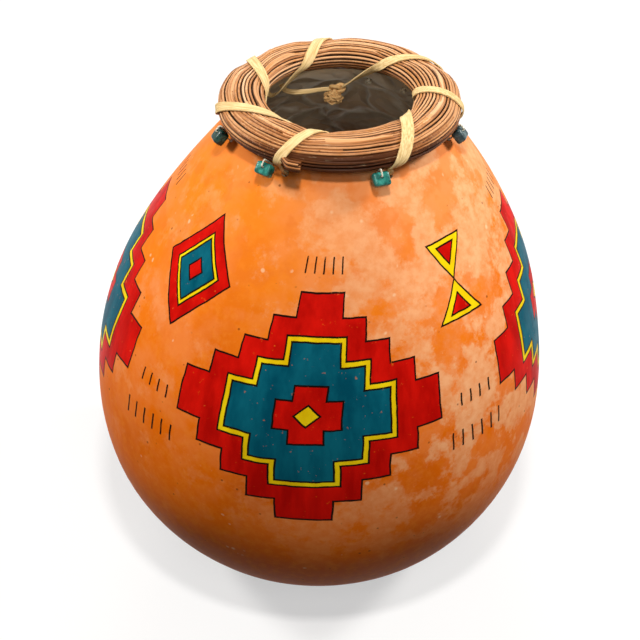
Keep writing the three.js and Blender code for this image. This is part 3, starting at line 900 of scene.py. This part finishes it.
def add_gourd():
    deselect()
    bpy.ops.mesh.primitive_circle_add(vertices=GOURD_SEGMENTS, radius=FOOT_RADIUS, fill_type="TRIFAN")
    gourd = bpy.context.object
    gourd.name = "gourd"
    bpy.ops.object.mode_set(mode="EDIT")
    bpy.ops.mesh.select_mode(type="EDGE")
    bpy.ops.mesh.select_all(action="DESELECT")
    bpy.ops.mesh.select_non_manifold()
    before = Vector((FOOT_RADIUS, 0))
    outer = outer_wall(lower_steps=24, upper_steps=40)
    inner = inner_wall(lower_steps=18, upper_steps=26)
    for ring in outer[1:] + inner:
        shift = lean_at(ring.y) - lean_at(before.y)
        bpy.ops.mesh.extrude_region_move(TRANSFORM_OT_translate={"value": (shift, 0, ring.y - before.y)})
        scale = ring.x / before.x
        bpy.ops.transform.resize(value=(scale, scale, 1), center_override=(lean_at(ring.y), 0, ring.y))
        before = ring
    bpy.ops.mesh.extrude_region_move()
    bpy.ops.mesh.merge(type="CENTER")
    bpy.ops.mesh.select_all(action="SELECT")
    bpy.ops.mesh.remove_doubles(threshold=WELD)
    bpy.ops.mesh.normals_make_consistent(inside=False)
    bpy.ops.object.mode_set(mode="OBJECT")

    # A grown shape is never quite round
    for vertex in gourd.data.vertices:
        here = vertex.co
        amount = smooth_step(here.z, *EVEN_FOOT) * (1 - smooth_step(here.z, *EVEN_NECK))
        flat = Vector((here.x - lean_at(here.z), here.y, 0))
        if flat.length > NEAR_AXIS:
            swell = sum(noise.noise(here * grain) * height for grain, height in SWELLS)
            vertex.co = here + flat.normalized() * (swell * amount)

    drills = []
    for stitch in STITCHES:
        angle = math.radians(stitch["hole"])
        centre = on_wall(angle, HOLE_DROP)
        drills.append(add_drill(centre, hole_direction(angle), HOLE_RADIUS, DRILL_LENGTH))
    for bead in BEADS:
        angle = math.radians(bead["angle"])
        rise, slope = bead_axes(angle)
        centre = on_wall(angle, THREAD_DROP) + slope * (THREAD_LEG_GAP / 2)
        drills.append(add_drill(centre, rise, THREAD_HOLE_RADIUS, DRILL_LENGTH))
    drill_through(gourd, drills)

    mesh = gourd.data
    mesh.materials.clear()
    mesh.materials.append(painted_gourd())
    mesh.materials.append(inner_skin())
    paint = mesh.uv_layers.new(name="paint")
    for face in mesh.polygons:
        centre = face.center
        reach = math.hypot(centre.x - lean_at(centre.z), centre.y)
        hollow = reach < wall_radius(centre.z) - INSIDE_DEPTH and centre.z > ABOVE_FOOT
        face.material_index = 1 if hollow else 0
        turns = []
        for loop in face.loop_indices:
            here = mesh.vertices[mesh.loops[loop].vertex_index].co
            turns.append(math.atan2(here.x - lean_at(here.z), -here.y) / math.tau)
        if max(turns) - min(turns) > 0.5:
            turns = [turn + 1 if turn < 0 else turn for turn in turns]
        for loop, turn in zip(face.loop_indices, turns):
            here = mesh.vertices[mesh.loops[loop].vertex_index].co
            paint.data[loop].uv = (turn, climb_at(here.z) / (PAINT_SPAN * MM))
    pick(gourd)
    bpy.ops.object.shade_smooth_by_angle(angle=math.radians(35))
    keep(gourd, "vessel", "gourd_shell")


# Coil
def stitch_angle(stitch, share):
    """Where a stitch lies round the mouth, in degrees, at a share of its way over the coil."""
    slant = share * (1 - STITCH_BOW + STITCH_BOW * share)
    return stitch["outer"] + (stitch["inner"] - stitch["outer"]) * slant


def oval_table(half_width, half_height, samples=720):
    places = []
    length = 0.0
    before = None
    for i in range(samples + 1):
        turn = math.tau * i / samples
        here = Vector((half_width * math.cos(turn), half_height * math.sin(turn)))
        if before is not None:
            length += (here - before).length
        places.append((length, here))
        before = here
    return places


def on_oval(table, share):
    wanted = (share % 1.0) * table[-1][0]
    low = 0
    high = len(table) - 1
    while high - low > 1:
        middle = (low + high) // 2
        if table[middle][0] <= wanted:
            low = middle
        else:
            high = middle
    part = (wanted - table[low][0]) / (table[high][0] - table[low][0])
    here = table[low][1].lerp(table[high][1], part)
    along = (table[high][1] - table[low][1]).normalized()
    return here, along, Vector((along.y, -along.x))


def standing(angle, turn, lift):
    """How far a reed stands off the oval: more on its upper side, and pressed down by the stitches."""
    share = (math.degrees(turn) - ARC_FROM) / (ARC_TO - ARC_FROM)
    if not 0 < share < 1:
        return lift
    nearest = 180.0
    for stitch in STITCHES:
        apart = (math.degrees(angle) - stitch_angle(stitch, share) + 180) % 360 - 180
        nearest = min(nearest, abs(apart))
    upper = smooth_step(share, *SWELL_FROM) * (1 - smooth_step(share, *SWELL_TO))
    pressed = min(lift, 0.0)
    return pressed + (lift - pressed + COIL_SWELL * upper) * smooth_step(nearest, *PRESSED)


def reed_ring(table, angle, share, lift, half_width, half_height):
    here, along, away = on_oval(table, share)
    turn = math.atan2(here.y * COIL_HALF_WIDTH, here.x * COIL_HALF_THICKNESS)
    if turn < -math.pi / 2:
        turn += math.tau
    spot = here + away * standing(angle, turn, lift)
    centre = around_coil(angle, spot.x, spot.y)
    side = coil_direction(angle, along.x, along.y)
    up = coil_direction(angle, away.x, away.y)
    return oval_ring(centre, side, up, half_width, half_height, REED_SIDES)


def underside_shade(table, angle, share):
    """How much painted shade darkens a reed low on the outside, most of all at the front."""
    here = on_oval(table, share)[0]
    low = math.degrees(math.atan2(here.y * COIL_HALF_WIDTH, here.x * COIL_HALF_THICKNESS))
    front = abs((math.degrees(angle) + 180) % 360 - 180)
    frontal = 1 - smooth_step(front, *SHADED_FRONT)
    amount = 0.3 + 0.8 * frontal
    return amount * (1 - smooth_step(abs(low - SHADED_SIDE), *SHADED_SPREAD)) + 0.2 * frontal


def add_coil_core():
    deselect()
    half_width = COIL_HALF_WIDTH - CORE_INSET
    bpy.ops.mesh.primitive_torus_add(
        major_segments=96,
        minor_segments=32,
        major_radius=COIL_RADIUS,
        minor_radius=half_width,
        location=MOUTH + UP * COIL_HEIGHT,
    )
    core = bpy.context.object
    core.name = "coil_inside"
    bpy.ops.object.transform_apply(location=True, rotation=True, scale=True)
    squash = (COIL_HALF_THICKNESS - CORE_INSET) / half_width
    for vertex in core.data.vertices:
        flat = Vector((vertex.co.x - MOUTH.x, vertex.co.y))
        x = flat.length - COIL_RADIUS
        y = (vertex.co.z - MOUTH.z - COIL_HEIGHT) * squash
        angle = math.atan2(flat.x, -flat.y)
        lump = 1 + CORE_LUMP * noise.noise(vertex.co * CORE_GRAIN)
        vertex.co = around_coil(angle, x * lump, y * lump)
    core.data.materials.append(shaded_core_reed())
    bpy.ops.object.shade_smooth()
    keep(core, "vessel", "coil_core")


def add_coil_reeds(material):
    chance = random.Random(REED_SEED)
    table = oval_table(COIL_HALF_WIDTH - REED_INSET, COIL_HALF_THICKNESS - REED_INSET)
    skein = Skein()

    # One reed wound on and on makes the outer layer
    rings = []
    tones = []
    for i in range(REED_LOOPS * REED_STEPS - WINDING_SHORT):
        turn = i / REED_STEPS
        angle = WINDING_FROM + math.tau * turn
        wander = ripple(turn * 2.3, 4.1, 0.7) * 0.28 + ripple(turn * 6.1, 1.7, 9.2) * 0.14
        share = (turn + wander) / REED_LOOPS - WINDING_SHARE
        lift = (ripple(turn * 2.9, 8.3, 2.2) * 0.3 + 0.02) * MM
        half_width = (0.62 + 0.18 * ripple(turn * 1.9, 3.3, 6.6)) * MM
        half_height = (0.66 + 0.1 * ripple(turn * 1.3, 7.7, 1.1)) * MM
        rings.append(reed_ring(table, angle, share, lift, half_width, half_height))
        fresh = min(max(0.64 + ripple(turn * 1.4, 2.6, 5.9), 0.1), 1)
        # The tone takes off painted shade low on the outside of the coil, most of all at the front.
        tones.append(fresh - underside_shade(table, angle, share))
    skein.strand(rings, tones)

    # Loose reeds and splints that were laid in later run among its turns and cross some of them
    for number in range(LOOSE_REEDS):
        start = chance.uniform(0, math.tau)
        length = chance.uniform(0.3, 1.0)
        share = chance.random()
        drift = chance.uniform(-0.09, 0.09)
        lift = chance.uniform(-0.25, 0.35)
        half_width = chance.uniform(0.5, 1.3) * MM
        half_height = chance.uniform(0.5, 0.62) * MM
        tone = chance.uniform(0.1, 1.0)
        tucked = chance.random() < 0.8
        count = int(REED_STEPS * length)
        rings = []
        tones = []
        for i in range(count + 1):
            part = i / count
            turn = part * length
            angle = start + math.tau * turn
            spot = share + drift * part
            wander = ripple(turn * 3.1, number * 7.3, 2.0) * 0.015
            end = min(part, 1 - part) * length * math.tau
            tuck = (1 - smooth_step(end, 0.0, LOOSE_TUCK)) * 1.5 if tucked else 0.0
            swell = lift + 0.2 * ripple(turn * 3.7, number * 3.9, 5.0) - tuck
            rings.append(reed_ring(table, angle, spot + wander, swell * MM, half_width, half_height))
            # Painted shade darkens these reeds too, low on the outside and at the front.
            tones.append(tone - underside_shade(table, angle, spot))
        skein.strand(rings, tones)
    keep(skein.finished("coil_windings", material, 50), "vessel", "coil_reeds")


def add_coil_tail(material):
    """The cut end of the bundle, coming out from under the front left stitch."""
    chance = random.Random(TAIL_SEED)
    skein = Skein()
    reach = TAIL_GAP + 1.5 * REED_DIAMETER
    middle = Vector(
        (
            (COIL_HALF_WIDTH + reach) * math.cos(TAIL_SPOT),
            (COIL_HALF_THICKNESS + reach) * math.sin(TAIL_SPOT),
        )
    )
    spots = [Vector((0, 0))]
    for i in range(TAIL_OUTER_REEDS):
        turn = math.tau * i / TAIL_OUTER_REEDS
        spots.append(Vector((math.cos(turn), math.sin(turn))) * REED_DIAMETER)
    for spot in spots:
        end = math.radians(TAIL_TO + chance.uniform(-0.7, 0.5))
        size = chance.uniform(0.68, 0.8) * MM
        rings = []
        for i in range(TAIL_STEPS + 1):
            angle = TAIL_FROM + (end - TAIL_FROM) * i / TAIL_STEPS
            out = smooth_step(angle, *TAIL_OUT)
            place = (middle + spot * (0.55 + 0.45 * out)) * (0.74 + 0.26 * out)
            centre = around_coil(angle, place.x, place.y)
            rings.append(oval_ring(centre, outward(angle) * -1, UP, size, size, REED_SIDES))

        # The cut face is a little rounded and dark
        face = centre + (rings[-1][0] - rings[-2][0]) * 0.03
        rings.append(oval_ring(face, outward(angle) * -1, UP, size * 0.9, size * 0.9, REED_SIDES))
        skein.strand(rings, [chance.uniform(-0.1, 0.3)] * (TAIL_STEPS + 1) + [-1.0])
    keep(skein.finished("coil_cut_end", material, 50), "vessel", "coil_tail")


# Lashing
def stitch_arc(stitch):
    offset = STRIP_CLEARANCE + STRIP_THICKNESS / 2
    wide = COIL_HALF_WIDTH + offset
    thick = COIL_HALF_THICKNESS + offset
    stations = []
    for i in range(ARC_STEPS + 1):
        share = i / ARC_STEPS
        turn = math.radians(ARC_FROM + (ARC_TO - ARC_FROM) * share)
        angle = math.radians(stitch_angle(stitch, share))
        point = around_coil(angle, wide * math.cos(turn), thick * math.sin(turn))
        facing = coil_direction(angle, thick * math.cos(turn), wide * math.sin(turn))
        spread = smooth_step(share, -0.04, 0.26)
        width = STRIP_NECK_WIDTH + (stitch["width"] - STRIP_NECK_WIDTH) * spread
        stations.append((point, facing, width * (1 - 0.3 * smooth_step(share, 0.72, 1.0))))
    return stations


def hole_stations(stitch):
    angle = math.radians(stitch["hole"])
    mouth = on_wall(angle, HOLE_DROP)
    direction = hole_direction(angle)
    facing = outward(angle) * math.sin(HOLE_SLANT) - UP * math.cos(HOLE_SLANT)
    reaches = (-HOLE_DEPTH - HOLE_LEAD, -HOLE_DEPTH / 2, HOLE_LEAD)
    return [(mouth + direction * reach, facing, STRIP_NECK_WIDTH) for reach in reaches]


def run_between(first, last, leaving, arriving, handle, steps):
    curve = (first[0], first[0] + leaving * handle, last[0] - arriving * handle, last[0])
    stations = []
    for i in range(1, steps):
        share = i / steps
        facing = first[1].lerp(last[1], share).normalized()
        stations.append((bezier(curve, share), facing, first[2] + (last[2] - first[2]) * share))
    return stations


KNOT = around(KNOT_ANGLE, MOUTH_INNER_RADIUS - KNOT_INSET, -KNOT_DROP)


def knot_end(towards):
    direction = (towards - KNOT).normalized()
    return direction, (KNOT + direction * (KNOT_REACH - KNOT_OVERLAP), DOWN, STRIP_NECK_WIDTH)


def strip_stations():
    stations = []
    before = None
    leaving = None
    for stitch in STITCHES:
        hole = hole_stations(stitch)
        arc = stitch_arc(stitch)
        out = hole_direction(math.radians(stitch["hole"]))
        if before is None:
            leaving, before = knot_end(hole[0][0])
            stations.append(before)
        stations += run_between(before, hole[0], leaving, out, RUN_HANDLE, RUN_STEPS) + hole
        upwards = (arc[1][0] - arc[0][0]).normalized()
        stations += run_between(hole[2], arc[0], out, upwards, LEAD_HANDLE, LEAD_STEPS) + arc
        before = arc[-1]
        leaving = (arc[-1][0] - arc[-2][0]).normalized()
    direction, end = knot_end(before[0])
    back = direction * -1
    stations += run_between(before, end, leaving, back, RUN_HANDLE, KNOT_RUN_STEPS)
    return stations + [end]


def ribbon_rings(stations):
    """Sections of the strip: bowed across, with wavy faces and ragged edges."""
    rings = []
    for i, (point, facing, width) in enumerate(stations):
        before = stations[max(i - 1, 0)][0]
        after = stations[min(i + 1, len(stations) - 1)][0]
        ahead = (after - before).normalized()
        side = ahead.cross(facing).normalized()
        up = side.cross(ahead).normalized()
        top = []
        under = []
        for j in range(2 * STRIP_HALF_POINTS + 1):
            across = j / STRIP_HALF_POINTS - 1
            ragged = 1 + STRIP_RAGGED * ripple(i * 0.35, across * 2.0, 3.0)
            wave = STRIP_WAVE * ripple(i * 0.22, across * 2.3, 8.0)
            bow = STRIP_CAMBER * (1 - across * across) + wave
            edge = point + side * (width / 2 * across * ragged)
            top.append(edge + up * (bow + STRIP_THICKNESS / 2))
            under.append(edge + up * (bow - STRIP_THICKNESS / 2))
        rings.append(top + under[::-1])
    return rings


def add_lashing(material):
    skein = Skein()
    rings = ribbon_rings(strip_stations())
    skein.strand(rings, [0.4 + 0.3 * ripple(i * 0.05, 2.0, 1.0) for i in range(len(rings))])
    keep(skein.finished("lashing", material, 40), "vessel", "lashing_strip")


def add_knot(material):
    """An overhand knot of the strip with its frayed ends below."""
    chance = random.Random(TUFT_SEED)
    skein = Skein()
    tangent = Vector((math.cos(KNOT_ANGLE), math.sin(KNOT_ANGLE), 0))
    inward = outward(KNOT_ANGLE) * -1
    path = trefoil(KNOT, (tangent, UP, inward), KNOT_SIZE, KNOT_STEPS)
    skein.strand(round_tube(path, KNOT_STRAND_RADIUS, KNOT_SIDES), [0.3] * len(path))

    # The ends are teased out into a tuft of curls that hangs beside the knot
    tuft = KNOT + tangent * TUFT_ASIDE + DOWN * TUFT_DROP + inward * TUFT_OUT
    for number in range(TUFT_STRANDS):
        first = Vector([chance.gauss(0, 1) for _ in range(3)]).normalized()
        second = first.orthogonal().normalized()
        second.rotate(Quaternion(first, chance.uniform(0, math.tau)))
        size = chance.uniform(0.45, 1.0)
        begin = chance.uniform(0, math.tau)
        sweep = chance.uniform(1.6, 3.4)
        strand = []
        radii = []
        for i in range(TUFT_STEPS + 1):
            turn = begin + sweep * i / TUFT_STEPS
            curl = [ripple(number * 3.7, i * 0.35, shift) for shift in (4.0, 17.3, 31.9)]
            reach = (first * math.cos(turn) + second * math.sin(turn)) * size + Vector(curl) * TUFT_CURL
            aside, out, above = (part * half for part, half in zip(reach, TUFT_HALF))
            strand.append(tuft + tangent * aside + inward * out + UP * above)
            radii.append((0.34 - 0.16 * abs(2 * i / TUFT_STEPS - 1)) * MM)
        skein.strand(round_tube(strand, radii, TUFT_SIDES), [chance.uniform(0.1, 0.9)] * len(strand))
    keep(skein.finished("lashing_frayed_knot", material, 60), "vessel", "lashing_knot")


# Beads
def bead_frame(bead):
    angle = math.radians(bead["angle"])
    rise, slope = bead_axes(angle)
    side = slope.cross(rise)
    origin = on_wall(angle, THREAD_DROP)
    columns = (side, slope, rise)
    return Matrix([[column[i] for column in columns] + [origin[i]] for i in range(3)] + [[0, 0, 0, 1]])


def add_bead(number, bead, material):
    chance = random.Random(BEAD_SEED + number)
    width, height, depth = (bead[key] * MM for key in ("width", "height", "depth"))
    centre = Vector((0, BEAD_HOLE_DROP - height / 2, BEAD_STANDOFF + depth / 2))
    deselect()
    bpy.ops.mesh.primitive_cube_add(size=1)
    nugget = bpy.context.object
    nugget.name = f"stone_bead_{number}"
    bpy.ops.object.mode_set(mode="EDIT")
    bpy.ops.mesh.select_all(action="SELECT")
    bpy.ops.transform.resize(value=(width, height, depth))
    bpy.ops.mesh.bevel(offset=BEAD_BEVEL, segments=2, affect="EDGES")
    bpy.ops.mesh.subdivide(number_cuts=1)
    bpy.ops.object.mode_set(mode="OBJECT")
    lean = chance.uniform(-BEAD_SKEW, BEAD_SKEW)
    taper = chance.uniform(-BEAD_SKEW, BEAD_SKEW)
    for vertex in nugget.data.vertices:
        x, y, z = vertex.co
        chip = noise.noise(vertex.co * BEAD_CHIP_GRAIN + Vector((number * 4.7, 0, 0))) * BEAD_CHIP
        inwards = vertex.co.normalized() * -abs(chip)
        x = (x + lean * y) * (1 - abs(taper) + taper * y / height)
        vertex.co = Vector((x, y, z)) + inwards + centre
    pick(nugget)
    rounding = nugget.modifiers.new("rounding", "SUBSURF")
    rounding.levels = BEAD_ROUNDING
    rounding.render_levels = BEAD_ROUNDING
    bpy.ops.object.modifier_apply(modifier=rounding.name)
    hole = add_drill(Vector((0, 0, centre.z)), UP, BEAD_HOLE_RADIUS, 3 * depth)
    drill_through(nugget, [hole])
    nugget.data.transform(bead_frame(bead))
    nugget.data.materials.clear()
    nugget.data.materials.append(material)
    bpy.ops.object.shade_smooth_by_angle(angle=math.radians(50))
    keep(nugget, f"bead_{number}", f"bead_{number}")


def rounded_route(corners):
    route = [corners[0]]
    for before, here, after in zip(corners, corners[1:], corners[2:]):
        first = here + (before - here).normalized() * THREAD_BEND
        last = here + (after - here).normalized() * THREAD_BEND
        for i in range(THREAD_BEND_STEPS + 1):
            share = i / THREAD_BEND_STEPS
            route.append(first * (1 - share) ** 2 + here * (2 * share * (1 - share)) + last * share**2)
    route.append(corners[-1])
    return route


def add_thread(number, bead, material):
    """Out through the wall and the bead, up its face, over its top and back to a stopper inside."""
    inside_wall = -SHELL_WALL - STOPPER_RADIUS
    front = BEAD_STANDOFF + bead["depth"] * MM + THREAD_FRONT_GAP + THREAD_RADIUS
    back = BEAD_STANDOFF - THREAD_FRONT_GAP - THREAD_RADIUS
    over = BEAD_HOLE_DROP + THREAD_OVER_BEAD + THREAD_RADIUS
    corners = [
        Vector((0, 0, inside_wall)),
        Vector((0, 0, front)),
        Vector((0, over, front)),
        Vector((0, over, back)),
        Vector((0, THREAD_LEG_GAP, back / 2)),
        Vector((0, THREAD_LEG_GAP, inside_wall)),
    ]
    to_wall = bead_frame(bead)
    skein = Skein()
    route = rounded_route(corners)
    dense = [route[0]]
    for before, after in zip(route, route[1:]):
        cuts = max(1, int((after - before).length / THREAD_STEP))
        for i in range(1, cuts + 1):
            dense.append(before.lerp(after, i / cuts))
    dense = [to_wall @ point for point in dense]
    skein.strand(round_tube(dense, THREAD_RADIUS, THREAD_SIDES), [0.5] * len(dense))
    stop = to_wall @ Vector((0, THREAD_LEG_GAP / 2, inside_wall))
    axes = [to_wall.to_3x3() @ Vector(axis) for axis in ((1, 0, 0), (0, 1, 0), (0, 0, 1))]
    path = trefoil(stop, axes, STOPPER_SIZE, STOPPER_STEPS)
    skein.strand(round_tube(path, THREAD_RADIUS, STOPPER_SIDES), [0.5] * len(path))
    keep(skein.finished(f"bead_loop_{number}", material, 60), "vessel", f"bead_thread_{number}")


# Floor, light and camera
FLOOR_SIZE = 8
FLOOR_GLOW = 0.52
FLOOR_COLOUR = (0.45, 0.45, 0.45, 1)
UNSEEN_FLOOR_COLOUR = (0.05, 0.05, 0.05, 1)
BLACK = (0.0, 0.0, 0.0, 1)
WHITE = (1.0, 1.0, 1.0, 1)
AMBIENT_LIGHT = 0.035
LAMP_COLOUR = (1.0, 0.98, 0.95)
LAMPS = (
    {"name": "left", "place": (-0.88, 0.17, 0.80), "aim": 0.15, "size": 0.22, "power": 8.4},
    {"name": "right", "place": (0.88, 0.15, 0.80), "aim": 0.15, "size": 0.22, "power": 9.2},
    {"name": "top", "place": (0.03, -0.60, 1.29), "aim": 0.15, "size": 0.12, "power": 9.2},
    {"name": "front", "place": (0.1, -0.92, 0.98), "aim": 0.15, "size": 0.4, "power": 2.8},
    {"name": "back", "place": (-0.1, 0.95, 0.70), "aim": 0.12, "size": 0.5, "power": 2.4},
)
CAMERA_ELEVATION = math.radians(37)
CAMERA_DISTANCE = 0.8
CAMERA_AIM = Vector((0.0004, 0, 0.1199))
CAMERA_LENS = 99.9
CAMERA_SENSOR = 36
CAMERA_NEAREST = 0.01


def add_stage():
    deselect()
    bpy.ops.mesh.primitive_plane_add(size=FLOOR_SIZE)
    floor = bpy.context.object
    floor.name = "floor"
    finish = Finish("pale_floor")
    finish.set("Roughness", 1.0)
    finish.set("Specular IOR Level", 0.0)
    finish.set("Emission Strength", FLOOR_GLOW)
    shows = finish.background_rays()
    finish.set("Base Color", finish.blend(UNSEEN_FLOOR_COLOUR, FLOOR_COLOUR, shows))
    finish.set("Emission Color", finish.blend(BLACK, WHITE, shows))
    floor.data.materials.append(finish.material)

    world = bpy.data.worlds.new("studio")
    bpy.context.scene.world = world
    world.use_nodes = True
    studio = Nodes(world.node_tree)
    levels = {"Value": studio.background_rays(), "To Min": AMBIENT_LIGHT, "To Max": 1.0}
    background = world.node_tree.nodes["Background"]
    studio.feed(background.inputs["Strength"], studio.node("ShaderNodeMapRange", {}, levels))
    studio.feed(background.inputs["Color"], WHITE)


def add_lamps():
    for lamp in LAMPS:
        place = Vector(lamp["place"])
        turn = (UP * lamp["aim"] - place).to_track_quat("-Z", "Y").to_euler()
        bpy.ops.object.light_add(type="AREA", location=place, rotation=turn)
        made = bpy.context.object
        made.name = lamp["name"]
        made.data.size = lamp["size"]
        made.data.energy = lamp["power"]
        made.data.color = LAMP_COLOUR


def add_camera():
    back = Vector((0, -math.cos(CAMERA_ELEVATION), math.sin(CAMERA_ELEVATION)))
    place = CAMERA_AIM + back * CAMERA_DISTANCE
    turn = (CAMERA_AIM - place).to_track_quat("-Z", "Y").to_euler()
    bpy.ops.object.camera_add(location=place, rotation=turn)
    camera = bpy.context.object
    camera.data.sensor_width = CAMERA_SENSOR
    camera.data.lens = CAMERA_LENS
    camera.data.clip_start = CAMERA_NEAREST
    bpy.context.scene.camera = camera


add_camera()
add_gourd()
add_coil_core()
reed = dry_reed()
add_coil_reeds(reed)
add_coil_tail(reed)
add_lashing(fibre_strip("pale_strip", shown(204, 166, 104), shown(239, 209, 152)))
add_knot(fibre_strip("frayed_strip", shown(190, 138, 80), shown(236, 194, 132)))
green = polished_stone("green_stone", shown(2, 36, 28), shown(14, 108, 96), shown(66, 166, 150))
deep = polished_stone("deep_green_stone", shown(0, 14, 10), shown(6, 48, 40), shown(36, 98, 84))
slate = polished_stone("blue_grey_stone", shown(16, 26, 28), shown(50, 72, 76), shown(116, 138, 138))
stones = (green, deep, deep, green, green, slate, deep)
thread = waxed_thread()
for number, (bead, stone) in enumerate(zip(BEADS, stones), 1):
    add_bead(number, bead, stone)
    add_thread(number, bead, thread)
add_stage()
add_lamps()

bpy.context.scene.view_settings.view_transform = "Standard"
